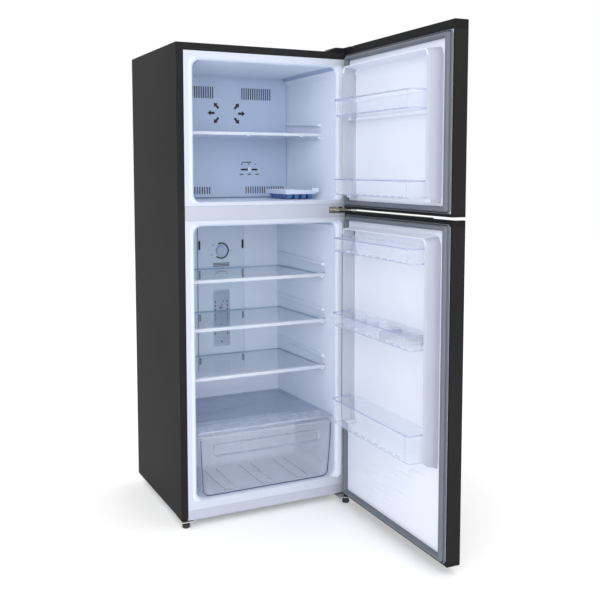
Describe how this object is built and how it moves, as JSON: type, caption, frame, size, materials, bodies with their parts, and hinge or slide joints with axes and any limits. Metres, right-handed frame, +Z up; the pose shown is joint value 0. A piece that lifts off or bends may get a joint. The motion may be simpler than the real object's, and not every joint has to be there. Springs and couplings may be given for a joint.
{
  "type": "top freezer refrigerator",
  "caption": "Free-standing top freezer refrigerator with both right-hinged doors open, glass shelves, door bins, ice tray and a clear crisper drawer.",
  "frame": {"origin": "middle of the bottom of the whole object's box, on the floor, with the doors as stored", "axes": "+Z up; +Y from the doors towards the back; +X towards the hinge side, the right as seen from the front"},
  "size_m": [0.6042, 1.097, 1.497],
  "materials": {
    "painted_steel": "dark charcoal coated steel with a fine vertical grain",
    "galvanised_steel": "zinc coated sheet, matt",
    "white_plastic": "vacuum formed white liner, soft gloss",
    "foam": "cut polyurethane foam",
    "grey_plastic": "fine moulded texture",
    "gasket_rubber": "matt flexible seal",
    "clear_plastic": "clear moulded plastic",
    "shelf_glass": "clear tempered glass",
    "frosted_plastic": "frosted translucent panel",
    "ice_plastic": "translucent blue cups",
    "hinge_steel": "bright plated steel",
    "aluminium": "bare fins and tubes",
    "black_steel": "black enamel",
    "mount_rubber": "matt",
    "lens_plastic": "milky translucent lens",
    "foot_plastic": "matt"
  },
  "bodies": {
    "cabinet": {"outer_wrap": "painted_steel", "rear_panel": "galvanised_steel", "base_deck": "galvanised_steel", "mullion_rail": "white_plastic", "bottom_rail": "white_plastic", "freezer_liner": "white_plastic", "fridge_liner": "white_plastic", "insulation_foam": "foam", "evaporator_cover": "white_plastic", "evaporator": "aluminium", "fan_motor": "black_steel", "air_duct_cover": "white_plastic", "lamp_lens": "lens_plastic", "compressor_plate": "galvanised_steel", "compressor": "black_steel", "compressor_mounts": "mount_rubber", "condenser": "black_steel", "machine_cover": "galvanised_steel", "cord_gland": "foot_plastic", "top_hinge": "hinge_steel", "top_hinge_cover": "grey_plastic", "middle_hinge": "hinge_steel", "bottom_hinge": "hinge_steel", "left_foot_bracket": "hinge_steel", "hinge_screws": "hinge_steel"},
    "freezer_door": {"freezer_door_skin": "painted_steel", "freezer_door_foam": "foam", "freezer_door_liner": "white_plastic", "freezer_door_gasket": "gasket_rubber", "freezer_door_top_cap": "grey_plastic", "freezer_door_bottom_cap": "grey_plastic"},
    "fridge_door": {"fridge_door_skin": "painted_steel", "fridge_door_foam": "foam", "fridge_door_liner": "white_plastic", "fridge_door_gasket": "gasket_rubber", "fridge_door_top_cap": "grey_plastic", "fridge_door_bottom_cap": "grey_plastic"},
    "freezer_upper_bin": {"freezer_upper_bin": "clear_plastic"},
    "freezer_lower_bin": {"freezer_lower_bin": "clear_plastic"},
    "fridge_upper_bin": {"fridge_upper_bin": "clear_plastic"},
    "fridge_middle_bin": {"fridge_middle_bin": "clear_plastic", "egg_tray": "clear_plastic"},
    "fridge_lower_bin": {"fridge_lower_bin": "clear_plastic"},
    "upper_shelf": {"upper_glass_shelf": "shelf_glass", "upper_shelf_trim": "frosted_plastic"},
    "middle_shelf": {"middle_glass_shelf": "shelf_glass", "middle_shelf_trim": "frosted_plastic"},
    "lower_shelf": {"lower_glass_shelf": "shelf_glass", "lower_shelf_trim": "frosted_plastic"},
    "freezer_shelf": {"freezer_shelf": "clear_plastic"},
    "ice_tray": {"ice_tray": "ice_plastic"},
    "airflow_slider": {"airflow_slider": "white_plastic"},
    "temperature_dial": {"temperature_dial": "white_plastic"},
    "fan_blade": {"fan_blade": "grey_plastic"},
    "crisper_cover": {"crisper_cover": "frosted_plastic"},
    "crisper_drawer": {"crisper_drawer": "clear_plastic"},
    "left_front_foot": {"left_front_foot": "foot_plastic"},
    "right_front_foot": {"right_front_foot": "foot_plastic"},
    "left_rear_roller": {"left_rear_roller": "foot_plastic"},
    "right_rear_roller": {"right_rear_roller": "foot_plastic"}
  },
  "joints": [
    {"name": "freezer_door_hinge", "type": "hinge", "parent": "cabinet", "child": "freezer_door", "pos_m": [0.27993, 0.03381, 1.232], "axis": [0, 0, 1], "range_deg": [-88.9, 26]},
    {"name": "fridge_door_hinge", "type": "hinge", "parent": "cabinet", "child": "fridge_door", "pos_m": [0.27993, 0.03381, 0.498], "axis": [0, 0, 1], "range_deg": [-88.9, 26]},
    {"name": "freezer_upper_bin_lift", "type": "slide", "parent": "freezer_door", "child": "freezer_upper_bin", "axis": [0, 0, 1], "range_m": [0, 0.04]},
    {"name": "freezer_lower_bin_lift", "type": "slide", "parent": "freezer_door", "child": "freezer_lower_bin", "axis": [0, 0, 1], "range_m": [0, 0.04]},
    {"name": "fridge_upper_bin_lift", "type": "slide", "parent": "fridge_door", "child": "fridge_upper_bin", "axis": [0, 0, 1], "range_m": [0, 0.008]},
    {"name": "fridge_middle_bin_lift", "type": "slide", "parent": "fridge_door", "child": "fridge_middle_bin", "axis": [0, 0, 1], "range_m": [0, 0.04]},
    {"name": "fridge_lower_bin_lift", "type": "slide", "parent": "fridge_door", "child": "fridge_lower_bin", "axis": [0, 0, 1], "range_m": [0, 0.04]},
    {"name": "freezer_shelf_slide", "type": "slide", "parent": "cabinet", "child": "freezer_shelf", "axis": [0, -1, 0], "range_m": [0, 0.14]},
    {"name": "upper_shelf_slide", "type": "slide", "parent": "cabinet", "child": "upper_shelf", "axis": [0, -1, 0], "range_m": [0, 0.13]},
    {"name": "middle_shelf_slide", "type": "slide", "parent": "cabinet", "child": "middle_shelf", "axis": [0, -1, 0], "range_m": [0, 0.13]},
    {"name": "lower_shelf_slide", "type": "slide", "parent": "cabinet", "child": "lower_shelf", "axis": [0, -1, 0], "range_m": [0, 0.13]},
    {"name": "crisper_cover_slide", "type": "slide", "parent": "cabinet", "child": "crisper_cover", "axis": [0, -1, 0], "range_m": [0, 0.07]},
    {"name": "crisper_drawer_slide", "type": "slide", "parent": "cabinet", "child": "crisper_drawer", "axis": [0, -1, 0], "range_m": [0, 0.2]},
    {"name": "ice_tray_lift", "type": "slide", "parent": "cabinet", "child": "ice_tray", "axis": [0, 0, 1], "range_m": [0, 0.06]},
    {"name": "airflow_slider_slide", "type": "slide", "parent": "cabinet", "child": "airflow_slider", "axis": [1, 0, 0], "range_m": [-0.02, 0.02]},
    {"name": "temperature_dial_turn", "type": "hinge", "parent": "cabinet", "child": "temperature_dial", "pos_m": [-0.00207, 0.49051, 0.817], "axis": [0, -1, 0], "range_deg": [-120, 120]},
    {"name": "fan_spin", "type": "hinge", "parent": "cabinet", "child": "fan_blade", "pos_m": [-0.00207, 0.44451, 1.34], "axis": [0, 1, 0], "continuous": true},
    {"name": "left_foot_turn", "type": "hinge", "parent": "cabinet", "child": "left_front_foot", "pos_m": [-0.28357, 0.07951, 0.014], "axis": [0, 0, 1], "continuous": true},
    {"name": "right_foot_turn", "type": "hinge", "parent": "cabinet", "child": "right_front_foot", "pos_m": [0.26193, 0.04081, 0.014], "axis": [0, 0, 1], "continuous": true},
    {"name": "left_roller_spin", "type": "hinge", "parent": "cabinet", "child": "left_rear_roller", "pos_m": [-0.25207, 0.50651, 0.018], "axis": [1, 0, 0], "continuous": true},
    {"name": "right_roller_spin", "type": "hinge", "parent": "cabinet", "child": "right_rear_roller", "pos_m": [0.24793, 0.50651, 0.018], "axis": [1, 0, 0], "continuous": true}
  ]
}
